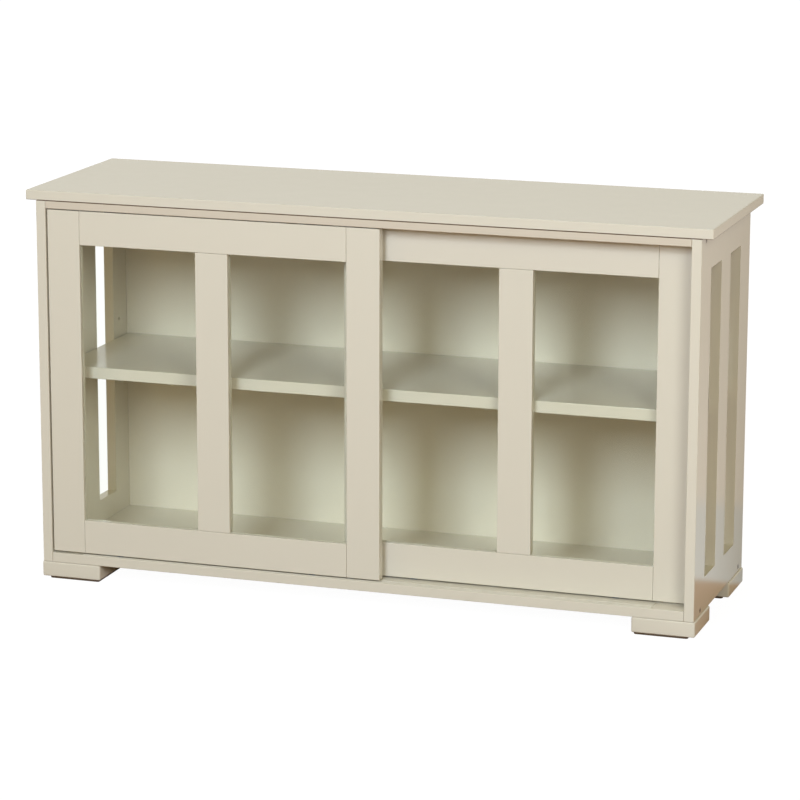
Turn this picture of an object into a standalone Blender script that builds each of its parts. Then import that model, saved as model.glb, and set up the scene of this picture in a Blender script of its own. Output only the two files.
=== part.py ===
"""Stackable storage cabinet: a low painted cabinet with two sliding glazed doors.

Metres, +Z up. The origin lies on the floor under the middle of the cabinet, and the doors face -Y.
The left door runs in the front track and the right door in the rear track.
"""
import math

import bmesh
import bpy
from mathutils import Matrix, Vector

# Overall sizes, measured over the top panel and down to the floor
WIDTH = 1.067
DEPTH = 0.330
HEIGHT = 0.609

# Boards of the carcass
TOP_THICKNESS = 0.015
SIDE_THICKNESS = 0.015
BOTTOM_THICKNESS = 0.015
BACK_THICKNESS = 0.004
SHELF_THICKNESS = 0.018
SIDE_OVERHANG = 0.0165
BACK_OVERHANG = 0.014
TOP_RAIL_THICKNESS = 0.012
TOP_RAIL_DEPTH = 0.060
BACK_RECESS = 0.0036
BACK_TONGUE = 0.006

# Slotted side panels: the upright strips and the bands above and below the slots
SIDE_STILE = 0.062
SIDE_SLAT = 0.058
SIDE_BAND = 0.052

# Feet and the pads under them
FOOT_SIZE = 0.096
FOOT_HEIGHT = 0.024
FOOT_PROUD = 0.002
PAD_THICKNESS = 0.003
PAD_INSET = 0.003
PAD_OUTER_INSET = 0.011

# Shelf and the pins that carry it
SHELF_TOP = 0.330
SHELF_CLEARANCE = 0.0025
SHELF_BACK_GAP = 0.002
PIN_RADIUS = 0.0025
PIN_PEG = 0.008
PIN_COLLAR_RADIUS = 0.0045
PIN_COLLAR = 0.0014
PIN_REST_RADIUS = 0.003
PIN_REST = 0.008
PIN_HOLE_DEPTH = 0.009
PIN_HOLE_PITCH = 0.050
PIN_HOLE_STEPS = (-1, 0, 1)
PIN_BEHIND_SHELF_EDGE = 0.007
PIN_FROM_BACK = 0.040

# Sliding doors
DOOR_THICKNESS = 0.015
DOOR_SETBACK = 0.0015
DOOR_PITCH = 0.028
DOOR_OVERLAP = 0.065
DOOR_SIDE_GAP = 0.0025
DOOR_TOP_GAP = 0.0017
DOOR_BOTTOM_GAP = 0.0033
DOOR_STILE = 0.052
DOOR_RAIL = 0.052
DOOR_MUNTIN = 0.052
GLASS_THICKNESS = 0.003
GLASS_BITE = 0.0075

# Rollers, their housings and the track that they run in
ROLLER_INSET = 0.109
WHEEL_RADIUS = 0.0125
WHEEL_WIDTH = 0.005
WHEEL_CHAMFER = 0.000625
WHEEL_SIDE_PLAY = 0.0005
WHEEL_RIM_PLAY = 0.0010
AXLE_RADIUS = 0.0015
HOUSING_WALL = 0.0016
HOUSING_END = 0.0045
HOUSING_ROOF = 0.0020
TRACK_THICKNESS = 0.004
TRACK_PROUD = 0.001
TRACK_MARGIN = 0.006
TRACK_END_GAP = 0.050
TRACK_GROOVE_DEPTH = 0.0015
TRACK_GROOVE_PLAY = 0.0006

# Guides in the doors' top edges and the grooves of the front top rail that they run in
GUIDE_LENGTH = 0.037
GUIDE_THICKNESS = 0.005
GUIDE_ROOT = 0.014
GUIDE_REACH = 0.0065
GUIDE_GROOVE_DEPTH = 0.008

# Side screws
SCREW_HEAD_RADIUS = 0.004
SCREW_HEAD = 0.003
SCREW_RADIUS = 0.0025
SCREW_LENGTH = 0.045
SCREW_POINT = 0.004
SOCKET_RADIUS = 0.002
SOCKET_DEPTH = 0.002
SCREW_TOP_FRONT_INSET = 0.028
SCREW_BOTTOM_FRONT_INSET = 0.040
SCREW_BOTTOM_REAR_INSET = 0.026

# Clearance at each seat, and the eased edges
FIT = 0.0003
ARRIS = 0.0008
TOP_ARRIS = 0.0012
FOOT_ARRIS = 0.0025
PLASTIC_ARRIS = 0.0004
ARRIS_STEPS = 2
SMALL_ARRIS_STEPS = 1
OVERSHOOT = 0.002
ROUND_STEPS = 16
WHEEL_STEPS = 36
HEXAGON_SIDES = 6
MERGE_DISTANCE = 0.00001
SMOOTH_ANGLE = 0.7

# Planes worked out from the sizes above
FRONT = -DEPTH / 2
SIDE_OUTER = WIDTH / 2 - SIDE_OVERHANG
SIDE_INNER = SIDE_OUTER - SIDE_THICKNESS
CARCASS_BACK = DEPTH / 2 - BACK_OVERHANG
BACK_REAR = CARCASS_BACK - BACK_RECESS
BACK_FACE = BACK_REAR - BACK_THICKNESS
PANEL_BOTTOM = PAD_THICKNESS + FOOT_HEIGHT
TOP_UNDERSIDE = HEIGHT - TOP_THICKNESS
BOTTOM_UPPER = PANEL_BOTTOM + BOTTOM_THICKNESS
RAIL_UNDERSIDE = TOP_UNDERSIDE - TOP_RAIL_THICKNESS
DOOR_WIDTH = SIDE_INNER - DOOR_SIDE_GAP + DOOR_OVERLAP / 2
DOOR_BOTTOM = BOTTOM_UPPER + DOOR_BOTTOM_GAP
DOOR_TOP = RAIL_UNDERSIDE - DOOR_TOP_GAP
FRONT_DOOR_Y = FRONT + DOOR_SETBACK + DOOR_THICKNESS / 2
REAR_DOOR_Y = FRONT_DOOR_Y + DOOR_PITCH
TRACK_UPPER = BOTTOM_UPPER + TRACK_PROUD
TRACK_LOWER = TRACK_UPPER - TRACK_THICKNESS
TRACK_HALF = SIDE_INNER - TRACK_END_GAP
WHEEL_Z = TRACK_UPPER - TRACK_GROOVE_DEPTH + FIT + WHEEL_RADIUS
HOUSING_LENGTH = 2 * (WHEEL_RADIUS + WHEEL_RIM_PLAY + HOUSING_END)
HOUSING_WIDTH = WHEEL_WIDTH + 2 * (WHEEL_SIDE_PLAY + HOUSING_WALL)
HOUSING_TOP = WHEEL_Z + WHEEL_RADIUS + WHEEL_RIM_PLAY + HOUSING_ROOF
SHELF_FRONT = REAR_DOOR_Y + DOOR_THICKNESS / 2 + SHELF_CLEARANCE
SHELF_HALF = SIDE_INNER - PIN_COLLAR - 2 * FIT
PIN_Z = SHELF_TOP - SHELF_THICKNESS - FIT - PIN_REST_RADIUS
PIN_ROWS = {"front": SHELF_FRONT + PIN_BEHIND_SHELF_EDGE, "rear": CARCASS_BACK - PIN_FROM_BACK}
SIDES = {"left": -1, "right": 1}

QUARTER_TURN = math.pi / 2
AXIS_X = Matrix.Rotation(-QUARTER_TURN, 4, "Y")
AXIS_Y = Matrix.Rotation(QUARTER_TURN, 4, "X")


def clear_scene():
    for item in list(bpy.data.objects):
        bpy.data.objects.remove(item, do_unlink=True)


def new_collection(name):
    group = bpy.data.collections.new(name)
    bpy.context.scene.collection.children.link(group)
    return group


def new_material(name, colour, roughness, metallic=0.0, transmission=0.0):
    """A Principled finish: base colour, roughness and metallic value."""
    finish = bpy.data.materials.new(name)
    finish.use_nodes = True
    shader = finish.node_tree.nodes["Principled BSDF"]
    shader.inputs["Base Color"].default_value = (*colour, 1.0)
    shader.inputs["Roughness"].default_value = roughness
    shader.inputs["Metallic"].default_value = metallic
    shader.inputs["Transmission Weight"].default_value = transmission
    return finish


def link(name, mesh, place, parent, material):
    """Makes an object of a mesh, at a world place, under an optional unturned parent empty."""
    piece = bpy.data.objects.new(name, mesh)
    cabinet.objects.link(piece)
    piece.location = Vector(place)
    if parent is not None:
        piece.parent = parent
        piece.location -= parent.location
    piece.data.materials.append(material)
    return piece


def box_mesh(name, size):
    solid = bmesh.new()
    bmesh.ops.create_cube(solid, size=1.0, matrix=Matrix.Diagonal((*size, 1.0)))
    mesh = bpy.data.meshes.new(name)
    solid.to_mesh(mesh)
    solid.free()
    return mesh


def round_mesh(name, radius, length, turn, steps=ROUND_STEPS):
    """A cylinder about its own middle, turned from +Z by the given matrix."""
    solid = bmesh.new()
    bmesh.ops.create_cone(solid, cap_ends=True, segments=steps, radius1=radius, radius2=radius,
                          depth=length, matrix=turn)
    mesh = bpy.data.meshes.new(name)
    solid.to_mesh(mesh)
    solid.free()
    return mesh


def ease(piece, width):
    """Rounds every edge of a piece by a small radius, and chamfers the finest ones."""
    bevel = piece.modifiers.new("eased edges", "BEVEL")
    bevel.width = width
    bevel.segments = ARRIS_STEPS if width > PLASTIC_ARRIS else SMALL_ARRIS_STEPS
    bevel.limit_method = "ANGLE"


def board(name, low, high, material, arris=ARRIS, parent=None):
    """A board between two corners, with eased edges."""
    low, high = Vector(low), Vector(high)
    piece = link(name, box_mesh(name, high - low), (low + high) / 2, parent, material)
    ease(piece, arris)
    return piece


def turned(name, profile, place, turn, material, parent=None, steps=ROUND_STEPS):
    """A profile of (radius, height) points, run down its outer side, turned about its own axis."""
    mesh = bpy.data.meshes.new(name)
    points = [(radius, 0.0, height) for radius, height in profile]
    edges = [(i, i + 1) for i in range(len(points) - 1)]
    if profile[0][0] > 0 and profile[-1][0] > 0:
        edges.append((len(points) - 1, 0))
    mesh.from_pydata(points, edges, [])
    piece = link(name, mesh, place, parent, material)
    piece.rotation_euler = turn.to_euler()
    screw = piece.modifiers.new("turned", "SCREW")
    screw.axis = "Z"
    screw.steps = steps
    screw.render_steps = steps
    screw.use_merge_vertices = True
    screw.merge_threshold = MERGE_DISTANCE
    screw.use_smooth_shade = True
    return piece


def combine(piece, mesh, place, operation):
    """Cuts a shape from a piece, or joins one to it. The shape is a hidden guide that follows the piece."""
    guide = bpy.data.objects.new(mesh.name, mesh)
    cutters.objects.link(guide)
    guide.parent = piece
    guide.matrix_parent_inverse = Matrix.Identity(4)
    home = piece.location + (piece.parent.location if piece.parent else Vector())
    guide.location = Vector(place) - home
    guide.hide_render = True
    guide.display_type = "WIRE"
    boolean = piece.modifiers.new(mesh.name, "BOOLEAN")
    boolean.object = guide
    boolean.operation = operation
    boolean.solver = "EXACT"


def cut_box(piece, name, low, high):
    low, high = Vector(low), Vector(high)
    combine(piece, box_mesh(name, high - low), (low + high) / 2, "DIFFERENCE")


def add_box(piece, name, low, high):
    low, high = Vector(low), Vector(high)
    combine(piece, box_mesh(name, high - low), (low + high) / 2, "UNION")


def cut_round(piece, name, radius, start, end, turn):
    """Bores a round hole from one end point to the other."""
    start, end = Vector(start), Vector(end)
    combine(piece, round_mesh(name, radius, (end - start).length, turn), (start + end) / 2, "DIFFERENCE")


def make_top():
    board("top_panel", (-WIDTH / 2, FRONT, TOP_UNDERSIDE), (WIDTH / 2, DEPTH / 2, HEIGHT), paint, TOP_ARRIS)


def screw_places():
    """Where the side screws go: name, how far back, height."""
    rail_z = TOP_UNDERSIDE - TOP_RAIL_THICKNESS / 2
    board_z = PANEL_BOTTOM + BOTTOM_THICKNESS / 2
    return (
        ("top_front", FRONT + SCREW_TOP_FRONT_INSET, rail_z),
        ("top_rear", BACK_FACE - TOP_RAIL_DEPTH / 2, rail_z),
        ("bottom_front", FRONT + SCREW_BOTTOM_FRONT_INSET, board_z),
        ("bottom_rear", CARCASS_BACK - SCREW_BOTTOM_REAR_INSET, board_z),
    )


def bore_screw_ends(piece, wanted):
    """Pilot holes in both ends of a board that the side screws hold."""
    depth = SCREW_HEAD + SCREW_LENGTH - SIDE_THICKNESS + 2 * FIT
    for label, y, z in screw_places():
        if label in wanted:
            for side in SIDES.values():
                start = (side * (SIDE_INNER + OVERSHOOT), y, z)
                end = (side * (SIDE_INNER - depth), y, z)
                cut_round(piece, "pilot hole", SCREW_RADIUS + FIT, start, end, AXIS_X)


def make_side(label, side):
    """A side panel with its two slots, the back panel's groove, pin holes and screw holes."""
    low_x, high_x = sorted((side * SIDE_OUTER, side * SIDE_INNER))
    low = (low_x, FRONT, PANEL_BOTTOM)
    high = (high_x, CARCASS_BACK, TOP_UNDERSIDE - FIT)
    panel = board(f"side_panel_{label}", low, high, paint)

    slot_width = (CARCASS_BACK - FRONT - 2 * SIDE_STILE - SIDE_SLAT) / 2
    for start in (FRONT + SIDE_STILE, CARCASS_BACK - SIDE_STILE - slot_width):
        slot_low = (low_x - OVERSHOOT, start, PANEL_BOTTOM + SIDE_BAND)
        slot_high = (high_x + OVERSHOOT, start + slot_width, TOP_UNDERSIDE - SIDE_BAND)
        cut_box(panel, "slot", slot_low, slot_high)

    groove_x = sorted((side * (SIDE_INNER - OVERSHOOT), side * (SIDE_INNER + BACK_TONGUE + FIT)))
    groove_low = (groove_x[0], BACK_FACE - FIT, PANEL_BOTTOM - OVERSHOOT)
    groove_high = (groove_x[1], BACK_REAR + FIT, TOP_UNDERSIDE + OVERSHOOT)
    cut_box(panel, "back groove", groove_low, groove_high)

    for y in PIN_ROWS.values():
        for step in PIN_HOLE_STEPS:
            z = PIN_Z + step * PIN_HOLE_PITCH
            start = (side * (SIDE_INNER - OVERSHOOT), y, z)
            end = (side * (SIDE_INNER + PIN_HOLE_DEPTH), y, z)
            cut_round(panel, "pin hole", PIN_RADIUS + FIT, start, end, AXIS_X)

    for _, y, z in screw_places():
        outside = (side * (SIDE_OUTER + OVERSHOOT), y, z)
        head_floor = (side * (SIDE_OUTER - SCREW_HEAD - FIT), y, z)
        inside = (side * (SIDE_INNER - OVERSHOOT), y, z)
        cut_round(panel, "screw head hole", SCREW_HEAD_RADIUS + FIT, outside, head_floor, AXIS_X)
        cut_round(panel, "screw hole", SCREW_RADIUS + FIT, outside, inside, AXIS_X)


def make_side_screws(label, side):
    """Screws with a flat head and a hexagon socket, their heads just below the side's outer face."""
    profile = (
        (0.0, SCREW_HEAD),
        (SCREW_HEAD_RADIUS, SCREW_HEAD),
        (SCREW_HEAD_RADIUS, 0.0),
        (SCREW_RADIUS, 0.0),
        (SCREW_RADIUS, SCREW_POINT - SCREW_LENGTH),
        (0.0, -SCREW_LENGTH),
    )
    turn = Matrix.Rotation(side * QUARTER_TURN, 4, "Y")
    for corner, y, z in screw_places():
        place = (side * (SIDE_OUTER - SCREW_HEAD), y, z)
        screw = turned(f"side_screw_{label}_{corner}", profile, place, turn, steel)
        socket = round_mesh("hexagon socket", SOCKET_RADIUS, 2 * SOCKET_DEPTH, Matrix.Identity(4),
                            HEXAGON_SIDES)
        head_face = Vector(place) + Vector((0.0, 0.0, SCREW_HEAD))
        combine(screw, socket, head_face, "DIFFERENCE")


def make_bottom():
    """The bottom panel, with a stopped recess for the door track."""
    low = (-SIDE_INNER + FIT, FRONT, PANEL_BOTTOM)
    high = (SIDE_INNER - FIT, BACK_FACE - FIT, BOTTOM_UPPER)
    panel = board("bottom_panel", low, high, paint)
    recess_low = (-TRACK_HALF - FIT, FRONT_DOOR_Y - TRACK_MARGIN - FIT, TRACK_LOWER - FIT)
    recess_high = (TRACK_HALF + FIT, REAR_DOOR_Y + TRACK_MARGIN + FIT, BOTTOM_UPPER + OVERSHOOT)
    cut_box(panel, "track recess", recess_low, recess_high)
    bore_screw_ends(panel, ("bottom_front", "bottom_rear"))


def make_track():
    """A plastic strip with one wheel groove for each door."""
    low = (-TRACK_HALF, FRONT_DOOR_Y - TRACK_MARGIN, TRACK_LOWER)
    high = (TRACK_HALF, REAR_DOOR_Y + TRACK_MARGIN, TRACK_UPPER)
    track = board("door_track", low, high, track_plastic, PLASTIC_ARRIS)
    half = WHEEL_WIDTH / 2 + TRACK_GROOVE_PLAY
    for y in (FRONT_DOOR_Y, REAR_DOOR_Y):
        groove_low = (-TRACK_HALF - OVERSHOOT, y - half, TRACK_UPPER - TRACK_GROOVE_DEPTH)
        groove_high = (TRACK_HALF + OVERSHOOT, y + half, TRACK_UPPER + OVERSHOOT)
        cut_box(track, "wheel groove", groove_low, groove_high)


def make_back():
    low = (-SIDE_INNER - BACK_TONGUE, BACK_FACE, PANEL_BOTTOM + FIT)
    high = (SIDE_INNER + BACK_TONGUE, BACK_REAR, TOP_UNDERSIDE - FIT)
    board("back_panel", low, high, back_paint, PLASTIC_ARRIS)


def make_top_rails():
    """Two rails under the top panel. The front one has the grooves that guide the doors."""
    end = SIDE_INNER - FIT
    spans = {"front": (FRONT, FRONT + TOP_RAIL_DEPTH),
             "rear": (BACK_FACE - FIT - TOP_RAIL_DEPTH, BACK_FACE - FIT)}
    for label, (start, stop) in spans.items():
        low, high = (-end, start, RAIL_UNDERSIDE), (end, stop, TOP_UNDERSIDE - FIT)
        rail = board(f"top_rail_{label}", low, high, paint)
        bore_screw_ends(rail, (f"top_{label}",))
        if label == "front":
            half = GUIDE_THICKNESS / 2 + FIT
            for y in (FRONT_DOOR_Y, REAR_DOOR_Y):
                groove_low = (-end - OVERSHOOT, y - half, RAIL_UNDERSIDE - OVERSHOOT)
                groove_high = (end + OVERSHOOT, y + half, RAIL_UNDERSIDE + GUIDE_GROOVE_DEPTH)
                cut_box(rail, "guide groove", groove_low, groove_high)


def make_shelf():
    low = (-SHELF_HALF, SHELF_FRONT, SHELF_TOP - SHELF_THICKNESS)
    high = (SHELF_HALF, BACK_FACE - SHELF_BACK_GAP, SHELF_TOP)
    board("shelf", low, high, paint)


def make_shelf_pins():
    """Turned pins: a peg in the side's hole, a collar against the side, and a rest under the shelf."""
    profile = (
        (0.0, PIN_COLLAR + PIN_REST),
        (PIN_REST_RADIUS, PIN_COLLAR + PIN_REST),
        (PIN_REST_RADIUS, PIN_COLLAR),
        (PIN_COLLAR_RADIUS, PIN_COLLAR),
        (PIN_COLLAR_RADIUS, 0.0),
        (PIN_RADIUS, 0.0),
        (PIN_RADIUS, -PIN_PEG),
        (0.0, -PIN_PEG),
    )
    for label, side in SIDES.items():
        turn = Matrix.Rotation(-side * QUARTER_TURN, 4, "Y")
        for row, y in PIN_ROWS.items():
            turned(f"shelf_pin_{row}_{label}", profile, (side * (SIDE_INNER - FIT), y, PIN_Z), turn, steel)


def make_feet():
    """Square block feet, and the thinner pads that they stand on."""
    outer = SIDE_OUTER + FOOT_PROUD
    rows = {"front": (FRONT, 1), "rear": (CARCASS_BACK + FOOT_PROUD, -1)}
    for row, (edge, inward) in rows.items():
        for label, side in SIDES.items():
            xs = sorted((side * outer, side * (outer - FOOT_SIZE)))
            ys = sorted((edge, edge + inward * FOOT_SIZE))
            low = (xs[0], ys[0], PAD_THICKNESS + FIT)
            high = (xs[1], ys[1], PANEL_BOTTOM - FIT)
            board(f"foot_{row}_{label}", low, high, paint, FOOT_ARRIS)
            pad_xs = sorted((side * (outer - PAD_OUTER_INSET), side * (outer - FOOT_SIZE + PAD_INSET)))
            pad_low = (pad_xs[0], ys[0] + PAD_INSET, 0.0)
            pad_high = (pad_xs[1], ys[1] - PAD_INSET, PAD_THICKNESS)
            board(f"foot_pad_{row}_{label}", pad_low, pad_high, pad_felt, PLASTIC_ARRIS)


def make_door(label, left, y):
    """A framed and glazed door on rollers, from its left edge and the plane of its middle."""
    right = left + DOOR_WIDTH
    front, back = y - DOOR_THICKNESS / 2, y + DOOR_THICKNESS / 2
    middle = (left + right) / 2
    door = bpy.data.objects.new(f"{label}_door", None)
    cabinet.objects.link(door)
    door.location = (middle, y, DOOR_BOTTOM)

    window_left, window_right = left + DOOR_STILE, right - DOOR_STILE
    window_low, window_high = DOOR_BOTTOM + DOOR_RAIL, DOOR_TOP - DOOR_RAIL
    tongue = GLASS_THICKNESS / 2
    groove = tongue + FIT
    bite = GLASS_BITE + FIT

    def groove_box(piece, low_x, high_x, low_z, high_z):
        cut_box(piece, "glass groove", (low_x, y - groove, low_z), (high_x, y + groove, high_z))

    def tongue_box(piece, low_x, high_x, low_z, high_z):
        add_box(piece, "tongue", (low_x, y - tongue, low_z), (high_x, y + tongue, high_z))

    # Stiles, the full height of the door, grooved along their inner edges
    below, above = DOOR_BOTTOM - OVERSHOOT, DOOR_TOP + OVERSHOOT
    stile = board(f"{label}_door_stile_left", (left, front, DOOR_BOTTOM), (window_left, back, DOOR_TOP),
                  paint, parent=door)
    groove_box(stile, window_left - bite, window_left + OVERSHOOT, below, above)
    stile = board(f"{label}_door_stile_right", (window_right, front, DOOR_BOTTOM), (right, back, DOOR_TOP),
                  paint, parent=door)
    groove_box(stile, window_right - OVERSHOOT, window_right + bite, below, above)

    # Rails between the stiles, with a tongue at each end and a groove for the glass
    spans = {"bottom": (DOOR_BOTTOM, window_low), "top": (window_high, DOOR_TOP)}
    rails = {}
    for end, (low_z, high_z) in spans.items():
        rail = board(f"{label}_door_rail_{end}", (window_left + FIT, front, low_z),
                     (window_right - FIT, back, high_z), paint, parent=door)
        tongue_box(rail, window_left - GLASS_BITE, window_left + OVERSHOOT, low_z + ARRIS, high_z - ARRIS)
        tongue_box(rail, window_right - OVERSHOOT, window_right + GLASS_BITE, low_z + ARRIS, high_z - ARRIS)
        rails[end] = rail
    far = GLASS_BITE + OVERSHOOT
    start, stop = window_left - far, window_right + far
    groove_box(rails["bottom"], start, stop, window_low - bite, window_low + OVERSHOOT)
    groove_box(rails["top"], start, stop, window_high - OVERSHOOT, window_high + bite)

    # Muntin between the rails, with a tongue at each end and a groove down each side
    low_x, high_x = middle - DOOR_MUNTIN / 2, middle + DOOR_MUNTIN / 2
    muntin = board(f"{label}_door_muntin", (low_x, front, window_low + FIT),
                   (high_x, back, window_high - FIT), paint, parent=door)
    tongue_box(muntin, low_x + ARRIS, high_x - ARRIS, window_low - GLASS_BITE, window_low + OVERSHOOT)
    tongue_box(muntin, low_x + ARRIS, high_x - ARRIS, window_high - OVERSHOOT, window_high + GLASS_BITE)
    below, above = window_low - far, window_high + far
    groove_box(muntin, low_x - OVERSHOOT, low_x + bite, below, above)
    groove_box(muntin, high_x - bite, high_x + OVERSHOOT, below, above)

    # Glass panes, one each side of the muntin
    for end, start, stop in (("left", window_left, low_x), ("right", high_x, window_right)):
        board(f"{label}_door_glass_{end}", (start - GLASS_BITE, y - tongue, window_low - GLASS_BITE),
              (stop + GLASS_BITE, y + tongue, window_high + GLASS_BITE), glass, PLASTIC_ARRIS, door)

    for end, x in (("left", left + ROLLER_INSET), ("right", right - ROLLER_INSET)):
        make_roller(f"{label}_door", end, x, y, rails["bottom"], door)
        make_guide(f"{label}_door", end, x, y, rails["top"], door)


def make_roller(label, end, x, y, rail, door):
    """A wheel on its axle, in a housing let into the door's bottom edge."""
    half_length, half_width = HOUSING_LENGTH / 2, HOUSING_WIDTH / 2
    cut_box(rail, "housing mortise", (x - half_length - FIT, y - half_width - FIT, DOOR_BOTTOM - OVERSHOOT),
            (x + half_length + FIT, y + half_width + FIT, HOUSING_TOP + FIT))
    housing = board(f"{label}_housing_{end}", (x - half_length, y - half_width, DOOR_BOTTOM),
                    (x + half_length, y + half_width, HOUSING_TOP), grey_plastic, PLASTIC_ARRIS, door)
    reach = WHEEL_RADIUS + WHEEL_RIM_PLAY
    room = WHEEL_WIDTH / 2 + WHEEL_SIDE_PLAY
    cut_box(housing, "wheel pocket", (x - reach, y - room, DOOR_BOTTOM - OVERSHOOT),
            (x + reach, y + room, WHEEL_Z + reach))
    start = (x, y - half_width - OVERSHOOT, WHEEL_Z)
    end_point = (x, y + half_width + OVERSHOOT, WHEEL_Z)
    cut_round(housing, "axle hole", AXLE_RADIUS + FIT, start, end_point, AXIS_Y)

    axle = link(f"{label}_axle_{end}", round_mesh("axle", AXLE_RADIUS, HOUSING_WIDTH, AXIS_Y),
                (x, y, WHEEL_Z), door, steel)
    axle.data.shade_smooth()
    axle.data.set_sharp_from_angle(angle=SMOOTH_ANGLE)

    half = WHEEL_WIDTH / 2
    bore = AXLE_RADIUS + FIT
    profile = (
        (WHEEL_RADIUS - WHEEL_CHAMFER, half),
        (WHEEL_RADIUS, half - WHEEL_CHAMFER),
        (WHEEL_RADIUS, WHEEL_CHAMFER - half),
        (WHEEL_RADIUS - WHEEL_CHAMFER, -half),
        (bore, -half),
        (bore, half),
    )
    turned(f"{label}_roller_{end}", profile, (x, y, WHEEL_Z), AXIS_Y, nylon, door, WHEEL_STEPS)


def make_guide(label, end, x, y, rail, door):
    """A blade in the door's top edge that runs in the groove of the front top rail."""
    half_length, half_thickness = GUIDE_LENGTH / 2, GUIDE_THICKNESS / 2
    root = DOOR_TOP - GUIDE_ROOT
    cut_box(rail, "guide mortise", (x - half_length - FIT, y - half_thickness - FIT, root - FIT),
            (x + half_length + FIT, y + half_thickness + FIT, DOOR_TOP + OVERSHOOT))
    board(f"{label}_guide_{end}", (x - half_length, y - half_thickness, root),
          (x + half_length, y + half_thickness, RAIL_UNDERSIDE + GUIDE_REACH), black_plastic, ARRIS, door)


clear_scene()
cabinet = new_collection("stackable storage cabinet")
cutters = new_collection("cutters")
cutters.hide_render = True

paint = new_material("cream paint", (0.70, 0.65, 0.54), 0.33)
back_paint = new_material("back panel paint", (0.69, 0.64, 0.53), 0.45)
glass = new_material("clear glass", (0.86, 0.92, 0.88), 0.03, transmission=1.0)
track_plastic = new_material("pale track plastic", (0.62, 0.60, 0.54), 0.35)
nylon = new_material("blue-grey nylon", (0.20, 0.24, 0.33), 0.4)
grey_plastic = new_material("dark grey plastic", (0.055, 0.056, 0.062), 0.5)
black_plastic = new_material("black plastic", (0.015, 0.015, 0.015), 0.5)
steel = new_material("dark zinc steel", (0.20, 0.18, 0.16), 0.4, metallic=1.0)
pad_felt = new_material("brown foot pad", (0.105, 0.072, 0.047), 0.95)

make_top()
for side_label, side_sign in SIDES.items():
    make_side(side_label, side_sign)
    make_side_screws(side_label, side_sign)
make_bottom()
make_track()
make_back()
make_top_rails()
make_shelf()
make_shelf_pins()
make_feet()
make_door("front", -SIDE_INNER + DOOR_SIDE_GAP, FRONT_DOOR_Y)
make_door("rear", SIDE_INNER - DOOR_SIDE_GAP - DOOR_WIDTH, REAR_DOOR_Y)
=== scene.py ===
"""Dresses the stackable storage cabinet: satin antique-white paint, clear panes and small hardware."""
import math

import bpy
import numpy as np
from mathutils import Matrix, Vector


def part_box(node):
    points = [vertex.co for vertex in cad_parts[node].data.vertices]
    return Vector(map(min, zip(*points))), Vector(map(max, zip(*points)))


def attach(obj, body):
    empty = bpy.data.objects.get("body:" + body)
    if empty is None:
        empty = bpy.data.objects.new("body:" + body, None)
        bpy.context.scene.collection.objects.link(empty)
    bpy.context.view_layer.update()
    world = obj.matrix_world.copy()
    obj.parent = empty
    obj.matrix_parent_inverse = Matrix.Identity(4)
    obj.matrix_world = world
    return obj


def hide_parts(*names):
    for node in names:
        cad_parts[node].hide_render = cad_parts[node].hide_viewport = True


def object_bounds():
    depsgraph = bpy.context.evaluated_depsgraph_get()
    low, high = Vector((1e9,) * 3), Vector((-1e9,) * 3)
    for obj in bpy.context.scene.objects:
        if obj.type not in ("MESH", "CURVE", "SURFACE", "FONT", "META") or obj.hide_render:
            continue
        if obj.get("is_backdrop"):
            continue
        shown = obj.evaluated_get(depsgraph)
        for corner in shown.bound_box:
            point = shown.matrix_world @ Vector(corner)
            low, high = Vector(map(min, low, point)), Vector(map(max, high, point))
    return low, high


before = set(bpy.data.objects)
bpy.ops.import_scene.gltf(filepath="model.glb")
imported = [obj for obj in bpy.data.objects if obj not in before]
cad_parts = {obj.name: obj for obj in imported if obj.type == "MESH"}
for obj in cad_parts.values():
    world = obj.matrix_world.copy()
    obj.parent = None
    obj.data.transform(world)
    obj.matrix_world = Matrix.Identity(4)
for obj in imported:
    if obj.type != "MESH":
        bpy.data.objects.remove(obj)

cad_low, cad_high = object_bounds()


# Side panels: one fibreboard each, with two upright slots that leave a slat between them.
# The board is sanded and sealed, its edges are eased, and satin antique-white paint is sprayed all over.
# The coat keeps a fine orange peel, a slow cloud of tone and a few rubbed patches that shine less.
class Socket:
    """A shader output that does arithmetic: each operator adds one Math node."""

    def __init__(self, tree, output):
        self.tree = tree
        self.output = output

    def math(self, operation, *values):
        made = self.tree.nodes.new("ShaderNodeMath")
        made.operation = operation
        for place, value in zip(made.inputs, values):
            put(self.tree, place, value)
        return Socket(self.tree, made.outputs[0])

    def __add__(self, other):
        return self.math("ADD", self, other)

    def __sub__(self, other):
        return self.math("SUBTRACT", self, other)

    def __rsub__(self, other):
        return self.math("SUBTRACT", other, self)

    def __mul__(self, other):
        return self.math("MULTIPLY", self, other)

    def __lt__(self, other):
        return self.math("LESS_THAN", self, other)

    def __abs__(self):
        return self.math("ABSOLUTE", self)

    __radd__ = __add__
    __rmul__ = __mul__


def put(tree, place, value):
    """Links a socket to an input, or writes a plain value there."""
    if isinstance(value, Socket):
        tree.links.new(value.output, place)
    else:
        place.default_value = value


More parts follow.
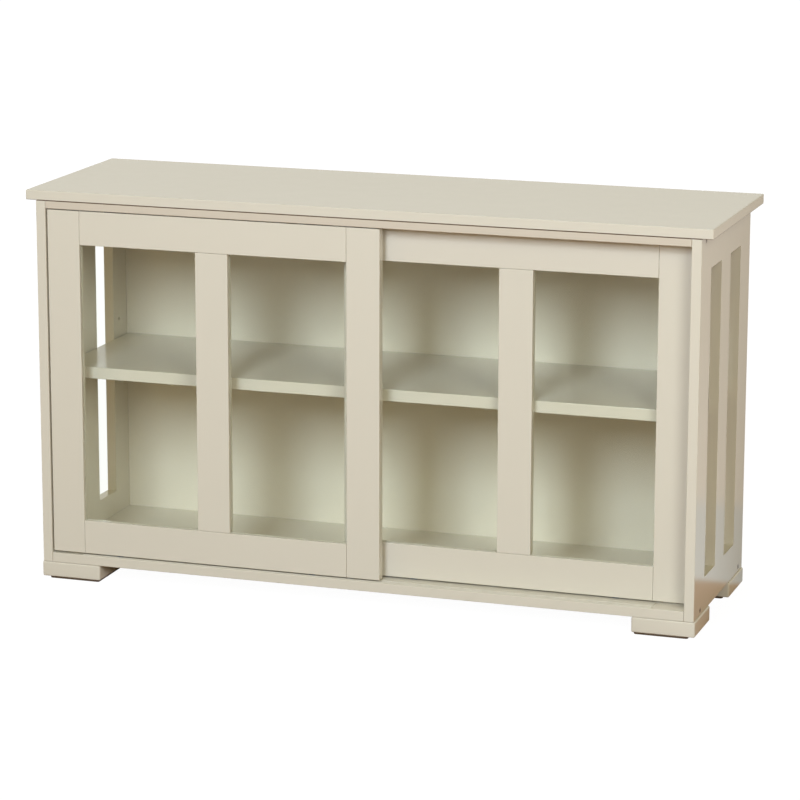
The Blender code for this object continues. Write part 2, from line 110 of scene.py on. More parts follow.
class Finish:
    """The node tree of one material, or of the room."""

    def __init__(self, block):
        self.block = block
        block.use_nodes = True
        self.tree = block.node_tree
        self.tree.nodes.clear()

    def node(self, kind, output=0, settings=(), **values):
        """Adds a node of a type: its settings first, then its values or links. A key is the input's name,
        with _ for each space, or its number after one _."""
        made = self.tree.nodes.new(kind)
        for key, value in dict(settings).items():
            setattr(made, key, value)
        for key, value in values.items():
            name = key.replace("_", " ").strip()
            put(self.tree, made.inputs[int(name) if name.isdigit() else name], value)
        return Socket(self.tree, made.outputs[output])

    def mix(self, share, first, second):
        """Goes from the first colour to the second as the share goes from 0 to 1."""
        colours = {"data_type": "RGBA"}
        return self.node("ShaderNodeMix", output=2, settings=colours, _0=share, _6=first, _7=second)

    def noise(self, place, scale, detail=2.0):
        return self.node("ShaderNodeTexNoise", Vector=place, Scale=scale, Detail=detail)

    def ramp(self, value, start, end, low=0.0, high=1.0):
        """Goes from low to high as the value goes from start to end, and stays level outside them."""
        return self.node("ShaderNodeMapRange", Value=value, From_Min=start, From_Max=end,
                         To_Min=low, To_Max=high)

    def done(self, surface, kind="ShaderNodeOutputMaterial"):
        out = self.tree.nodes.new(kind)
        put(self.tree, out.inputs["Surface"], surface)
        return self.block


def shade(colour, times=1.0):
    """A colour made lighter or darker, with its alpha."""
    return (*(np.array(colour) * times), 1.0)


ANTIQUE_WHITE = (0.700, 0.652, 0.540)
SATIN = 0.17
PEEL_SIZE = 0.0024
PEEL_HEIGHT = 0.00004
PEEL_STRENGTH = 0.5
CLOUD_SIZE = 0.28
CLOUD_SHARE = 0.7
MOTTLE_SIZE = 0.03
MOTTLE_DETAIL = 3.0
MOTTLE_DULLER = 0.04
TONE_SPREAD = 0.012
NOISE_MIDDLE = 0.5
RUBBED_SIZE = 0.14
RUBBED_EDGE = (0.56, 0.70)
RUBBED_SHARE = 0.4
RUBBED_DARKER = 0.0192
RUBBED_DULLER = 0.02
# Painted shade: the brown and the share of a thin line at the joint under the top, on every board.
JOINT_SHADE_BROWN = (0.17, 0.105, 0.055)
JOINT_SHADE_SHARE = 0.85
TOP_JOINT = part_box("top_panel")[0].z
JOINT_HALF = 0.0012


def sprayed_paint(name, apart, roughness=SATIN, colour=ANTIQUE_WHITE):
    """Satin paint. The tone goes from darker to lighter with a slow cloud, and rubbed patches are duller.
    A painted shade, a thin brown line, runs along the joint under the top. apart moves the pattern,
    so that two boards don't carry the same one."""
    finish = Finish(bpy.data.materials.new(name))
    spot = finish.node("ShaderNodeTexCoord", output="Object")
    place = finish.node("ShaderNodeMapping", Vector=spot, Location=(apart, apart, apart))
    cloud = finish.noise(place, 1 / CLOUD_SIZE)
    mottle = finish.noise(place, 1 / MOTTLE_SIZE, MOTTLE_DETAIL)
    rubbed = finish.ramp(finish.noise(place, 1 / RUBBED_SIZE), *RUBBED_EDGE)
    blotch = cloud * CLOUD_SHARE + mottle * (1 - CLOUD_SHARE)
    fresh = finish.mix(blotch, shade(colour, 1 - TONE_SPREAD), shade(colour, 1 + TONE_SPREAD))
    worn = finish.mix(rubbed * RUBBED_SHARE, fresh, shade(colour, 1 - RUBBED_DARKER))
    height = finish.node("ShaderNodeSeparateXYZ", output="Z", Vector=spot)
    # Painted shade: a brown line at the height of the joint under the top stands in for its shadow gap.
    joint = finish.ramp(abs(height - TOP_JOINT), JOINT_HALF, JOINT_HALF / 2)
    tone = finish.mix(joint * JOINT_SHADE_SHARE, worn, shade(JOINT_SHADE_BROWN))
    grain = finish.noise(place, 1 / PEEL_SIZE)
    peel = finish.node("ShaderNodeBump", Strength=PEEL_STRENGTH, Distance=PEEL_HEIGHT, Height=grain)
    dullness = roughness + (mottle - NOISE_MIDDLE) * MOTTLE_DULLER + rubbed * RUBBED_DULLER
    return finish.done(finish.node("ShaderNodeBsdfPrincipled", Base_Color=tone, Normal=peel,
                                   Roughness=dullness))


def dress(material, slot, *names):
    """Gives CAD nodes their finish."""
    for name in names:
        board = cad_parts[name]
        board.data.materials.clear()
        board.data.materials.append(material)


dress(sprayed_paint("side panel paint", apart=0.0), "cream_paint", "side_panel_left", "side_panel_right")


# Bottom panel, shelf and top rails: the flat boards between the sides, in the same fibreboard and paint.
# The front top rail is the thin strip under the top's edge, and its underside guides the doors.
# The top rails' paint is darker than the boards': a painted shade for the shadow under the top's edge.
RAIL_SHADED_WHITE = (0.645, 0.570, 0.460)
shaded_rail_paint = sprayed_paint("top rail paint, painted shade", apart=2.1, colour=RAIL_SHADED_WHITE)
dress(sprayed_paint("bottom panel paint", apart=1.3), "cream_paint", "bottom_panel")
dress(shaded_rail_paint, "cream_paint", "top_rail_front", "top_rail_rear")
dress(sprayed_paint("shelf paint", apart=3.7), "cream_paint", "shelf")


# Back panel: a thin hardboard slid down the grooves of the sides, sprayed with the same paint.
# Its paint is paler than the boards' as painted light that brightens the inside, and it is a little duller.
BACK_LIGHTENED_WHITE = (0.81, 0.750, 0.615)
BACK_DULLER = 0.2
back_paint = sprayed_paint("back panel paint", apart=5.2, roughness=SATIN + BACK_DULLER, colour=BACK_LIGHTENED_WHITE)
dress(back_paint, "back_paint", "back_panel")


# Top panel: the widest board, which overhangs the sides and the back.
# It has the paint of the carcass, and it is screwed on from below, so that its face stays whole.
dress(sprayed_paint("top panel paint", apart=4.4), "cream_paint", "top_panel")


# Feet: four square blocks with well rounded corners, painted with the carcass.
# They are fixed from inside the cabinet, so no screw shows.
SHARP_ANGLE = 0.6


def ring_mesh(name, rings, material, joined=False, sharp=SHARP_ANGLE):
    """Skins rings[row, step]: each ring closes on itself, and rows rise while steps turn anticlockwise.
    The first and the last ring are closed by one face each, or joined to each other for a bored piece."""
    rows, steps = rings.shape[:2]
    index = np.arange(rows * steps).reshape(rows, steps)
    lower, upper = (index, np.roll(index, -1, 0)) if joined else (index[:-1], index[1:])
    quads = np.stack([lower, np.roll(lower, -1, 1), np.roll(upper, -1, 1), upper], -1).reshape(-1, 4)
    ends = [] if joined else [index[0, ::-1].tolist(), index[-1].tolist()]
    mesh = bpy.data.meshes.new(name)
    mesh.from_pydata(rings.reshape(-1, 3).tolist(), [], quads.tolist() + ends)
    mesh.shade_smooth()
    mesh.set_sharp_from_angle(angle=sharp)
    mesh.materials.append(material)
    return mesh


def fit_piece(name, mesh, slot, body, *stands_for):
    """Puts a finished mesh on its body, in the place of CAD nodes."""
    piece = bpy.data.objects.new(name, mesh)
    bpy.context.scene.collection.objects.link(piece)
    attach(piece, body)
    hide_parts(*stands_for)


CORNER_STEPS = 9
LEAST_CORNER = 0.0002


def round_slab(low, high, corner, edge):
    """A block between two corners. Its outline is a rectangle with quarter circles of radius corner, and
    its upper and lower edges are quarter circles of radius edge: each ring is the outline drawn in by
    edge * (1 - sin t) at a height of edge * (1 - cos t) from the face, with t from 0 to a quarter turn."""
    middle, half = (low + high) / 2, (high - low) / 2
    turn = np.linspace(0, np.pi / 2, CORNER_STEPS)
    drawn_in = edge * (1 - np.sin(turn))
    off_face = edge * (1 - np.cos(turn))
    inset = np.concatenate([drawn_in, drawn_in[::-1]])[:, None]
    height = np.concatenate([low.z + off_face, high.z - off_face[::-1]])[:, None]
    angle = (np.arange(4)[:, None] * np.pi / 2 + turn).ravel()
    to_x, to_y = np.repeat([(1, 1), (-1, 1), (-1, -1), (1, -1)], CORNER_STEPS, axis=0).T
    radius = np.maximum(corner - inset, LEAST_CORNER)
    centre = np.maximum(corner, inset + LEAST_CORNER)
    x = middle.x + to_x * (half.x - centre) + radius * np.cos(angle)
    y = middle.y + to_y * (half.y - centre) + radius * np.sin(angle)
    return np.stack(np.broadcast_arrays(x, y, height), -1)


SIDES = {"left": -1, "right": 1}
ENDS = ("front", "rear")
FOOT_CORNER = 0.003
FOOT_EDGE = 0.0024
foot_paint = sprayed_paint("foot paint", apart=6.6)
for end in ENDS:
    for side in SIDES:
        block = round_slab(*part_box(f"foot_{end}_{side}"), FOOT_CORNER, FOOT_EDGE)
        mesh = ring_mesh(f"block_foot_{end}_{side}", block, foot_paint)
        fit_piece(f"block_foot_{end}_{side}", mesh, "cream_paint", "cabinet", f"foot_{end}_{side}")


# Foot pads: squares of dense brown felt, stuck under the feet so that the cabinet slides without a
# scratch. The fibres lie all ways and stand up a little at the cut edges.
FELT_BROWN = (0.105, 0.072, 0.047)
FELT_ROUGHNESS = 0.95
FELT_CORNER = 0.004
FELT_EDGE = 0.0008
FIBRE_SIZE = 0.0011
FIBRE_HEIGHT = 0.00025
FIBRE_DETAIL = 4.0
FIBRE_SHARE = 0.6
TUFT_SIZE = 0.0055
TUFT_DETAIL = 3.0
DARK_FIBRE = 0.5
PALE_FIBRE = 1.6


def felt():
    """Pressed felt: fibres and tufts go from dark to pale, and the fibres stand up as a nap."""
    finish = Finish(bpy.data.materials.new("brown felt"))
    place = finish.node("ShaderNodeTexCoord", output="Object")
    fibre = finish.noise(place, 1 / FIBRE_SIZE, FIBRE_DETAIL)
    tuft = finish.noise(place, 1 / TUFT_SIZE, TUFT_DETAIL)
    mixed = fibre * FIBRE_SHARE + tuft * (1 - FIBRE_SHARE)
    tone = finish.mix(mixed, shade(FELT_BROWN, DARK_FIBRE), shade(FELT_BROWN, PALE_FIBRE))
    nap = finish.node("ShaderNodeBump", Strength=1.0, Distance=FIBRE_HEIGHT, Height=fibre)
    return finish.done(finish.node("ShaderNodeBsdfPrincipled", Base_Color=tone, Normal=nap,
                                   Roughness=FELT_ROUGHNESS))


pad_felt = felt()
for end in ENDS:
    for side in SIDES:
        block = round_slab(*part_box(f"foot_pad_{end}_{side}"), FELT_CORNER, FELT_EDGE)
        mesh = ring_mesh(f"felt_pad_{end}_{side}", block, pad_felt)
        fit_piece(f"felt_pad_{end}_{side}", mesh, "dark_pad", "cabinet", f"foot_pad_{end}_{side}")


# Side screws: connecting screws with a flat head and a hexagon socket, driven flush with the side panel.
# They are steel with a dark zinc coat, and a coarse thread bites the end of the board inside.
DARK_ZINC = (0.215, 0.185, 0.150)
PLATED_ROUGHNESS = 0.42
PLATED_SPREAD = 0.25
PLATED_DULLER = 0.2
PATCHES_A_METRE = 300.0
PATCH_DETAIL = 3.0


def plated(name, colour):
    """Plated steel: the coat is patchy where it was handled, from darker to lighter, and duller there."""
    finish = Finish(bpy.data.materials.new(name))
    place = finish.node("ShaderNodeTexCoord", output="Object")
    patch = finish.noise(place, PATCHES_A_METRE, PATCH_DETAIL)
    tone = finish.mix(patch, shade(colour, 1 - PLATED_SPREAD), shade(colour, 1 + PLATED_SPREAD))
    dullness = PLATED_ROUGHNESS + (patch - NOISE_MIDDLE) * PLATED_DULLER
    return finish.done(finish.node("ShaderNodeBsdfPrincipled", Base_Color=tone, Metallic=1.0,
                                   Roughness=dullness))


SCREW_HEAD = 0.003
SCREW_CHAMFER = 0.0004
SCREW_POINT = 0.005
SCREW_TIP = 0.02
SCREW_STEPS = 36
THREAD_PITCH = 0.0026
THREAD_CREST = 0.0025
THREAD_ROOT = 0.0018
THREAD_ROWS = 6
SOCKET_ACROSS_FLATS = 0.0036
SOCKET_DEPTH = 0.0018
SOCKET_CONE = 0.00045
SOCKET_CENTRE = 0.05


def turned(radius, angle, height):
    """Points about +Z at x = radius * cos angle and y = radius * sin angle, and at a height. The three
    stretch to one grid of rows and steps."""
    return np.stack(np.broadcast_arrays(radius * np.cos(angle), radius * np.sin(angle), height), -1)


def screw_rings(head_radius, length):
    """A screw along +Z from its point. On the shank the radius goes between root and crest with the phase
    of height / pitch - angle / full turn, a triangle wave, and shrinks to nothing over the point.
    The socket's radius is half the width across flats / cos(angle from the middle of the nearest flat)."""
    angle = np.arange(SCREW_STEPS) * 2 * np.pi / SCREW_STEPS
    shank = length - SCREW_HEAD
    climb = np.linspace(0.0, shank, int(shank / THREAD_PITCH * THREAD_ROWS))
    phase = climb[:, None] / THREAD_PITCH - angle / (2 * np.pi)
    wave = 1 - np.abs(2 * (phase % 1.0) - 1)
    taper = np.clip(climb[:, None] / SCREW_POINT, SCREW_TIP, 1.0)
    thread = (THREAD_ROOT + (THREAD_CREST - THREAD_ROOT) * wave) * taper
    sixth = np.pi / 3
    hexagon = SOCKET_ACROSS_FLATS / 2 / np.cos(angle % sixth - sixth / 2)
    socket = np.array([1.0, 1.0, SOCKET_CENTRE])[:, None] * hexagon
    head = np.array([
        (head_radius, shank),
        (head_radius, length - SCREW_CHAMFER),
        (head_radius - SCREW_CHAMFER, length),
    ])
    floor = length - SOCKET_DEPTH
    radius = np.concatenate([thread, np.repeat(head[:, :1], SCREW_STEPS, 1), socket])
    height = np.concatenate([climb, head[:, 1], [length, floor, floor - SOCKET_CONE]])
    return turned(radius, angle, height[:, None])


def lay_along_x(rings, low, high, way):
    """Lays a piece made along +Z into the box between two corners: its start is at the box's left face
    and it points to +X for a way of 1, or it starts at the right face and points to -X for -1."""
    middle, half = (low + high) / 2, (high - low) / 2
    along = middle.x + way * (rings[..., 2] - half.x)
    across = middle.y + rings[..., 0]
    up = middle.z + way * rings[..., 1]
    return np.stack([along, across, up], -1)


zinc = plated("dark zinc steel", DARK_ZINC)
for side, outward in SIDES.items():
    for corner in ("top_front", "top_rear", "bottom_front", "bottom_rear"):
        node = f"side_screw_{side}_{corner}"
        low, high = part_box(node)
        rings = lay_along_x(screw_rings((high.z - low.z) / 2, high.x - low.x), low, high, outward)
        mesh = ring_mesh(f"hexagon_screw_{side}_{corner}", rings, zinc)
        fit_piece(f"hexagon_screw_{side}_{corner}", mesh, "zinc_steel", "cabinet", node)


# Shelf pins: turned steel pins, pushed into the sides' holes.
# A ribbed peg grips the board, a collar stops it, and the shelf rests on the round end inside.
PIN_STEEL = (0.46, 0.45, 0.43)
PIN_STEPS = 32
PEG_RADIUS = 0.0025
PEG_LENGTH = 0.008
RIB_DEPTH = 0.0002
RIB_COUNT = 4
RIB_ROWS = 6
COLLAR_LENGTH = 0.0014
COLLAR_RIM = 0.00028
REST_RADIUS = 0.003
NOSE_RADIUS = 0.001
NOSE_ROWS = 6


def pin_rings(collar_radius, length):
    """A pin along +Z from its peg's end: the peg's radius dips with a squared sine at each rib, the collar
    and the rest are straight, and the rest ends in a quarter circle."""
    along = np.linspace(0.0, 1.0, RIB_COUNT * RIB_ROWS + 1)
    dip = RIB_DEPTH * np.sin(along * RIB_COUNT * np.pi) ** 2
    peg = np.stack([PEG_RADIUS - dip, along * PEG_LENGTH], -1)
    turn = np.linspace(0.0, np.pi / 2, NOSE_ROWS)
    nose_in = NOSE_RADIUS * (1 - np.cos(turn))
    nose_back = NOSE_RADIUS * (1 - np.sin(turn))
    nose = np.stack([REST_RADIUS - nose_in, length - nose_back], -1)
    collar_end = PEG_LENGTH + COLLAR_LENGTH
    collar = [
        (collar_radius - COLLAR_RIM, PEG_LENGTH),
        (collar_radius, PEG_LENGTH + COLLAR_RIM),
        (collar_radius, collar_end - COLLAR_RIM),
        (collar_radius - COLLAR_RIM, collar_end),
        (REST_RADIUS, collar_end),
    ]
    profile = np.concatenate([peg, collar, nose])
    angle = np.arange(PIN_STEPS) * 2 * np.pi / PIN_STEPS
    return turned(profile[:, :1], angle, profile[:, 1:])


bright_pin = plated("pin steel", PIN_STEEL)
for side, outward in SIDES.items():
    for row in ENDS:
        node = f"shelf_pin_{row}_{side}"
        low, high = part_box(node)
        rings = lay_along_x(pin_rings((high.z - low.z) / 2, high.x - low.x), low, high, -outward)
        mesh = ring_mesh(f"turned_pin_{row}_{side}", rings, bright_pin)
        fit_piece(f"turned_pin_{row}_{side}", mesh, "zinc_steel", "cabinet", node)


# Door track: one length of extruded pale plastic, pressed into a recess of the bottom panel.
# Each door's wheels run in a groove with slanted lips, and a low bead stands along the middle.
TRACK_PALE = (0.64, 0.60, 0.50)
TRACK_ROUGHNESS = 0.5
TRACK_SHINE = 0.3
PLASTIC_SHINE = 0.5
FLOWS_A_METRE = 60.0
FLOW_DETAIL = 3.0
FLOW_SPREAD = 0.07
FLOW_DULLER = 0.12
GRAIN_SIZE = 0.0007
GRAIN_HEIGHT = 0.00002
GRAIN_STRENGTH = 0.6


def moulded(name, colour, roughness, shine=PLASTIC_SHINE):
    """Moulded plastic: a fine grain from the mould, and flow marks that go from darker to lighter."""
    finish = Finish(bpy.data.materials.new(name))
    place = finish.node("ShaderNodeTexCoord", output="Object")
    flow = finish.noise(place, FLOWS_A_METRE, FLOW_DETAIL)
    grain = finish.noise(place, 1 / GRAIN_SIZE)
    tone = finish.mix(flow, shade(colour, 1 - FLOW_SPREAD), shade(colour, 1 + FLOW_SPREAD))
    bump = finish.node("ShaderNodeBump", Strength=GRAIN_STRENGTH, Distance=GRAIN_HEIGHT, Height=grain)
    dullness = roughness + (flow - NOISE_MIDDLE) * FLOW_DULLER
    return finish.done(finish.node("ShaderNodeBsdfPrincipled", Base_Color=tone, Normal=bump,
                                   Roughness=dullness, Specular_IOR_Level=shine))


GROOVE_HALF = 0.0031
GROOVE_DEPTH = 0.0015
TRACK_LIP = 0.0004
BEAD_HEIGHT = 0.0003
BEAD_HALF = 0.0012
TRACK_ROWS = 3


def groove(middle, top):
    """One groove's section from back to front: a slanted lip, the straight sides and the floor between."""
    return [
        (middle + GROOVE_HALF + TRACK_LIP, top),
        (middle + GROOVE_HALF, top - TRACK_LIP),
        (middle + GROOVE_HALF, top - GROOVE_DEPTH),
        (middle - GROOVE_HALF, top - GROOVE_DEPTH),
        (middle - GROOVE_HALF, top - TRACK_LIP),
        (middle - GROOVE_HALF - TRACK_LIP, top),
    ]


def track_rings(low, high, front, rear):
    """The track's section, anticlockwise about +X, carried from one end to the other: the flat base, and
    the upper side with the rear door's groove, the bead and the front door's groove."""
    bead = (low.y + high.y) / 2
    section = np.array([
        (low.y, low.z),
        (high.y, low.z),
        (high.y, high.z - TRACK_LIP),
        (high.y - TRACK_LIP, high.z),
        *groove(rear, high.z),
        (bead + BEAD_HALF, high.z),
        (bead, high.z + BEAD_HEIGHT),
        (bead - BEAD_HALF, high.z),
        *groove(front, high.z),
        (low.y + TRACK_LIP, high.z),
        (low.y, high.z - TRACK_LIP),
    ])
    x = np.linspace(low.x, high.x, TRACK_ROWS)[:, None]
    y, z = section.T[:, None]
    return np.stack(np.broadcast_arrays(x, y, z), -1)


wheel_planes = []
for door in ENDS:
    low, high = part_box(f"{door}_door_roller_left")
    wheel_planes.append((low.y + high.y) / 2)
track_plastic = moulded("pale track plastic", TRACK_PALE, TRACK_ROUGHNESS, TRACK_SHINE)
mesh = ring_mesh("grooved_track", track_rings(*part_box("door_track"), *wheel_planes), track_plastic)
fit_piece("grooved_track", mesh, "white_plastic", "cabinet", "door_track")


# Door frames: each door has two stiles, two rails and a muntin of fibreboard, glued edge to edge.
# They are painted before glazing, so a hairline shows at each joint.
MEMBERS = ("stile_left", "stile_right", "rail_top", "rail_bottom", "muntin")
DOOR_APART = {"front": 7.9, "rear": 9.1}
for door, apart in DOOR_APART.items():
    members = [f"{door}_door_{member}" for member in MEMBERS]
    dress(sprayed_paint(f"{door} door paint", apart), "cream_paint", *members)


# Glass panes: 3 mm clear float glass in the grooves of the frame, faintly green.
# Light for the shelves goes straight through, tinted a little at each face, and the gloss is soft.
GLASS_TINT = (0.965, 0.985, 0.95)
GLASS_INDEX = 1.2
pane = Finish(bpy.data.materials.new("clear glass"))
solid = pane.node("ShaderNodeBsdfPrincipled", Base_Color=shade(GLASS_TINT), Roughness=0.0, IOR=GLASS_INDEX,
                  Transmission_Weight=1.0)
clear = pane.node("ShaderNodeBsdfTransparent", Color=shade(np.sqrt(GLASS_TINT)))
shadow_ray = pane.node("ShaderNodeLightPath", output="Is Shadow Ray")
diffuse_ray = pane.node("ShaderNodeLightPath", output="Is Diffuse Ray")
clear_glass = pane.done(pane.node("ShaderNodeMixShader", _0=shadow_ray + diffuse_ray, _1=solid, _2=clear))
dress(clear_glass, "clear_glass", *[f"{door}_door_glass_{side}" for door in ENDS for side in SIDES])


# Rollers: small nylon wheels that carry a door, two in each bottom rail. A wheel has a crowned tread,
# five pockets in each face that leave spokes between them, and a hub bored for its axle.
BLUE_GREY = (0.20, 0.245, 0.33)
NYLON_ROUGHNESS = 0.38
WHEEL_STEPS = 120
WHEEL_SHARP = 0.5
TREAD_CROWN = 0.0003
TREAD_ROWS = 7
SPOKES = 5
SPOKE_WIDTH = 0.7
SPOKE_SLOPE = 2.2
POCKET_DEPTH = 0.0014
POCKET_INNER = 0.0050
POCKET_OUTER = 0.0100
POCKET_WALL = 0.0004
POCKET_RIM = 0.0005
RIM_DIP = 0.2
HUB_RADIUS = 0.0042
BORE_RADIUS = 0.0018
BORE_CHAMFER = 0.0002


def wheel_rings(radius, half_width):
    """A wheel about +Z. The loop of radius and height goes up the tread, in over one face, down the bore
    and out over the other. Over the web the height is drawn in by the pocket's depth times a mask of the
    angle, 1 in a pocket and 0 on a spoke: the size of sin(spokes * angle / 2), stretched and clipped."""
    angle = np.arange(WHEEL_STEPS) * 2 * np.pi / WHEEL_STEPS
    mask = np.clip(SPOKE_SLOPE * np.abs(np.sin(SPOKES * angle / 2)) - SPOKE_WIDTH, 0.0, 1.0)
    face = np.array([
        (radius - 2 * TREAD_CROWN, 0.0),
        (POCKET_OUTER + POCKET_RIM, 0.0),
        (POCKET_OUTER, RIM_DIP),
        (POCKET_OUTER - POCKET_WALL, 1.0),
        (POCKET_INNER + POCKET_WALL, 1.0),
        (POCKET_INNER, RIM_DIP),
        (HUB_RADIUS, 0.0),
        (BORE_RADIUS + BORE_CHAMFER, 0.0),
    ])
    face_height = half_width - POCKET_DEPTH * face[:, 1:] * mask
    turn = np.linspace(-1.0, 1.0, TREAD_ROWS)
    tread = np.stack([radius - TREAD_CROWN * turn ** 2, turn * (half_width - TREAD_CROWN)], -1)
    bore_height = half_width - BORE_CHAMFER
    bore = np.array([(BORE_RADIUS, bore_height), (BORE_RADIUS, -bore_height)])
    radii = np.concatenate([tread[:, 0], face[:, 0], bore[:, 0], face[::-1, 0]])
    heights = np.concatenate([
        np.repeat(tread[:, 1:], WHEEL_STEPS, 1),
        face_height,
        np.repeat(bore[:, 1:], WHEEL_STEPS, 1),
        -face_height[::-1],
    ])
    return turned(radii[:, None], angle, heights)


nylon = moulded("blue-grey nylon", BLUE_GREY, NYLON_ROUGHNESS)
for door in ENDS:
    for side in SIDES:
        node = f"{door}_door_roller_{side}"
        low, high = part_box(node)
        middle, half = (low + high) / 2, (high - low) / 2
        up, along, across = np.moveaxis(wheel_rings(half.z, half.y), -1, 0)
        placed = np.stack([middle.x + along, middle.y + across, middle.z + up], -1)
        mesh = ring_mesh(f"nylon_wheel_{door}_{side}", placed, nylon, joined=True, sharp=WHEEL_SHARP)
        fit_piece(f"nylon_wheel_{door}_{side}", mesh, "blue_grey_nylon", f"{door}_{side}_roller", node)


# Roller housings and axles: a dark grey moulded block let into the rail's lower edge, and a steel pin
# across it that the wheel turns on. Only the gap under a door shows them.
HOUSING_GREY = (0.055, 0.056, 0.062)
HOUSING_ROUGHNESS = 0.5
AXLE_STEEL = (0.42, 0.41, 0.39)
housings = [f"{door}_door_housing_{side}" for door in ENDS for side in SIDES]
axles = [f"{door}_door_axle_{side}" for door in ENDS for side in SIDES]
dress(moulded("dark grey plastic", HOUSING_GREY, HOUSING_ROUGHNESS), "grey_plastic", *housings)
dress(plated("axle steel", AXLE_STEEL), "zinc_steel", *axles)


# Top guides: black plastic blades in the doors' upper edges, with round ends so that they don't catch.
# They stand up into the front top rail's grooves and keep the doors upright.
GUIDE_BLACK = (0.013, 0.013, 0.014)
GUIDE_ROUGHNESS = 0.45
GUIDE_EDGE = 0.0009
black_plastic = moulded("black plastic", GUIDE_BLACK, GUIDE_ROUGHNESS)
for door in ENDS:
    for side in SIDES:
        node = f"{door}_door_guide_{side}"
        low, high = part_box(node)
        blade = round_slab(low, high, (high.y - low.y) / 2, GUIDE_EDGE)
        mesh = ring_mesh(f"round_guide_{door}_{side}", blade, black_plastic)
        fit_piece(f"round_guide_{door}_{side}", mesh, "black_plastic", f"{door}_door", node)


# The camera stands where the photograph was taken from, to the right of the middle and a little above.
# Its place, aim and lens were fitted to the straight edges of the cabinet.
CAMERA_AZIMUTH = math.radians(18.4)
CAMERA_ELEVATION = math.radians(12.92)
CAMERA_ROLL = math.radians(0.12)
CAMERA_DISTANCE = 5.114
CAMERA_TARGET = Vector((0.0154, -0.015, 0.2902))
CAMERA_REACH = 60.0
SENSOR_WIDTH = 36.0
LENS = 150.64

towards = Vector((
    math.sin(CAMERA_AZIMUTH) * math.cos(CAMERA_ELEVATION),
    -math.cos(CAMERA_AZIMUTH) * math.cos(CAMERA_ELEVATION),
    math.sin(CAMERA_ELEVATION),
))
camera = bpy.data.objects.new("camera", bpy.data.cameras.new("camera"))
camera.data.sensor_width = SENSOR_WIDTH
camera.data.lens = LENS
camera.data.clip_end = CAMERA_REACH
camera.matrix_world = (
    Matrix.Translation(CAMERA_TARGET + towards * CAMERA_DISTANCE)
    @ towards.to_track_quat("Z", "Y").to_matrix().to_4x4()
    @ Matrix.Rotation(CAMERA_ROLL, 4, "Z")
)
bpy.context.scene.collection.objects.link(camera)
bpy.context.scene.camera = camera


# The lamps: a key lamp and two soft panels in front of the cabinet, and a low panel behind it for the back.
# Gloss doesn't show the lamps, and the glass doesn't show the one behind.
MIDDLE = (0.0, 0.0, 0.3)


def soft_lamp(name, place, size, power, colour):
    """A rectangular lamp that faces the middle of the cabinet."""
    data = bpy.data.lights.new(name, "AREA")
    data.shape = "RECTANGLE"
    data.size, data.size_y = size
    data.energy = power
    data.color = colour
    lamp = bpy.data.objects.new(name, data)
    lamp.location = place
    lamp.rotation_euler = (Vector(place) - Vector(MIDDLE)).to_track_quat("Z", "Y").to_euler()
    lamp.visible_glossy = False
    bpy.context.scene.collection.objects.link(lamp)
    return lamp


soft_lamp("key lamp", place=(-0.1, -3.4, 2.0), size=(0.9, 1.35),
          power=88.0, colour=(0.71, 0.813, 0.99))
soft_lamp("left front panel", place=(-3.6, -3.0, 2.0), size=(2.2, 2.2),
          power=12.0, colour=(1.0, 0.92, 0.67))
soft_lamp("right front panel", place=(2.9, -3.6, 2.2), size=(1.8, 2.2),
          power=97.0, colour=(0.945, 0.985, 1.0))
rear_panel = soft_lamp("rear panel", place=(-1.5, 3.4, 1.0), size=(2.4, 1.5),
                       power=95.0, colour=(0.85, 0.89, 1.0))
rear_panel.visible_transmission = False


# The floor: a white sheet, which the camera sees as white, straight and through the glass.
# To the boards it is dim and brown. Gloss shows it brown beside the cabinet, a painted shade, then as a
# cool white band, and then as a warm backdrop, dimmed behind the cabinet by a painted shadow of it.
WHITE = (1.0, 1.0, 1.0)
BLACK = (0.0, 0.0, 0.0)
FLOOR_REACH = 30.0
FLOOR_GLOW = 1.05
SEEN_GLOW = 0.93
SEEN_EDGE = (1.2, 3.5)
FLOOR_SEEN = (0.95, 0.95, 0.95)
FLOOR_BOUNCE = (0.34, 0.21, 0.12)
FLOOR_SHADE_BROWN = (0.95, 0.62, 0.55)
SHADE_ASIDE = 0.3
SHADE_EDGE = (-0.03, 0.0)
BAND_WHITE = (1.06, 1.13, 1.16)
BAND_EDGE = (0.42, 0.48)
BACKDROP_WHITE = (1.30, 1.20, 1.09)
BEHIND = (0.976, -0.219, 0.0)
BEHIND_EDGE = (0.46, 0.54)
BEHIND_SHADE_DIM = 0.4
HALF_BOUNCE = 0.5


def seen_rays(finish):
    """The rays that the camera sees straight or through glass, and those that a gloss mirrors. Both are 0
    once the path has met a dull surface. Light Path counts a ray through glass as glossy too, so that ray
    is taken out of the mirrored ones."""
    straight = finish.node("ShaderNodeLightPath", output="Diffuse Depth") < HALF_BOUNCE
    camera_ray = finish.node("ShaderNodeLightPath", output="Is Camera Ray") * straight
    glossy_ray = finish.node("ShaderNodeLightPath", output="Is Glossy Ray") * straight
    through_ray = finish.node("ShaderNodeLightPath", output="Is Transmission Ray") * straight
    return camera_ray + through_ray, glossy_ray * (1 - through_ray)


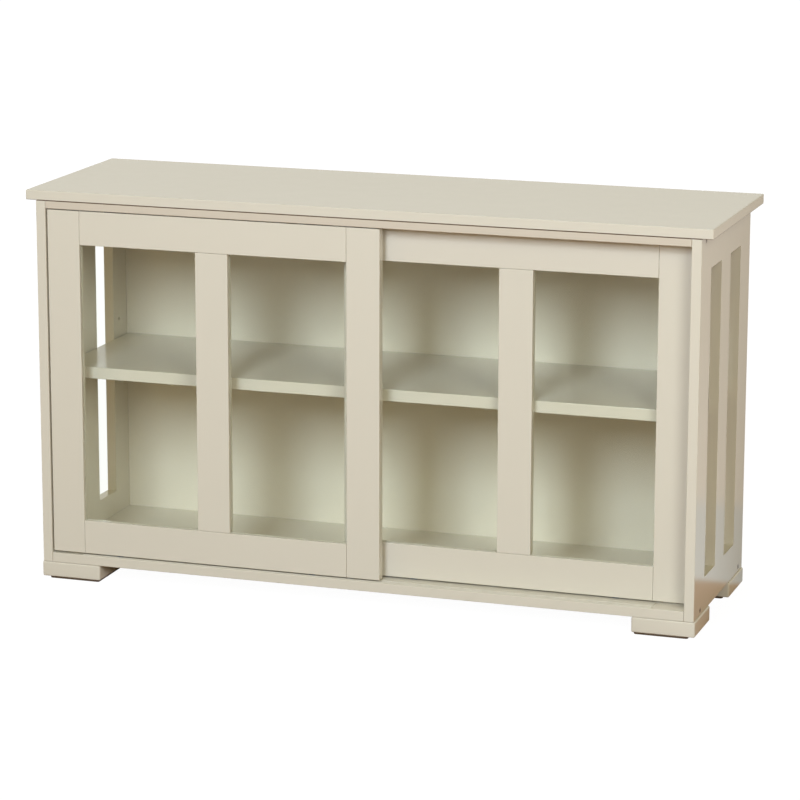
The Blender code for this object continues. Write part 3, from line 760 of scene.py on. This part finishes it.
floor_mesh = bpy.data.meshes.new("floor")
corners = np.array([(-1, -1, 0), (1, -1, 0), (1, 1, 0), (-1, 1, 0)]) * FLOOR_REACH
floor_mesh.from_pydata(corners.tolist(), [], [(0, 1, 2, 3)])
floor = bpy.data.objects.new("floor", floor_mesh)
bpy.context.scene.collection.objects.link(floor)
floor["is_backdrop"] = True

ground = Finish(bpy.data.materials.new("white floor"))
seen, mirrored = seen_rays(ground)
spot = ground.node("ShaderNodeTexCoord", output="Object")
away = ground.node("ShaderNodeVectorMath", output="Value", settings={"operation": "LENGTH"}, Vector=spot)
out_x = abs(ground.node("ShaderNodeSeparateXYZ", output="X", Vector=spot)) - cad_high.x
out_y = abs(ground.node("ShaderNodeSeparateXYZ", output="Y", Vector=spot)) - cad_high.y
beside = out_x.math("MAXIMUM", out_x - SHADE_ASIDE, out_y)
behind = ground.node("ShaderNodeVectorMath", output="Value", settings={"operation": "DOT_PRODUCT"},
                     _0=spot, _1=BEHIND)
white = ground.mix(ground.ramp(beside, *BAND_EDGE), shade(BAND_WHITE), shade(BACKDROP_WHITE))
# Painted shadow: gloss sees the backdrop dimmed behind the cabinet.
shaded_behind = ground.mix(ground.ramp(behind, *BEHIND_EDGE, low=BEHIND_SHADE_DIM), shade(BLACK), white)
bright = ground.mix(mirrored, shade(WHITE), shaded_behind)
glow = ground.node("ShaderNodeEmission", Strength=FLOOR_GLOW, Color=bright)
# Beside the cabinet gloss sees the lit floor with its real shadow, in a brown that is painted shade.
dull = ground.mix(mirrored, shade(FLOOR_BOUNCE), shade(FLOOR_SHADE_BROWN))
lit = ground.node("ShaderNodeBsdfDiffuse", Color=ground.mix(seen, dull, shade(FLOOR_SEEN)))
share = SEEN_GLOW + (1 - SEEN_GLOW) * ground.ramp(away, *SEEN_EDGE)
glowing = share * seen + ground.ramp(beside, *SHADE_EDGE) * mirrored
floor_mesh.materials.append(ground.done(ground.node("ShaderNodeMixShader", _0=glowing, _1=lit, _2=glow)))


# The room: white to the camera and through the glass, and nearly white in gloss.
# To the boards it is dim and yellowish, and it lights the shade inside the cabinet a little.
ROOM_MIRRORED = (1.0, 0.985, 0.93)
MIRRORED_GLOW = 0.97
ROOM_TINT = (1.0, 0.79, 0.22)
ROOM_DIM = 0.265
room = Finish(bpy.data.worlds.new("white room"))
bpy.context.scene.world = room.block
seen, mirrored = seen_rays(room)
strength = seen + mirrored * MIRRORED_GLOW + (1 - (seen + mirrored)) * ROOM_DIM
unseen = room.mix(mirrored, shade(ROOM_TINT), shade(ROOM_MIRRORED))
tone = room.mix(seen, unseen, shade(WHITE))
room.done(room.node("ShaderNodeBackground", Color=tone, Strength=strength), "ShaderNodeOutputWorld")

bpy.context.scene.view_settings.view_transform = "Standard"


low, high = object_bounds()
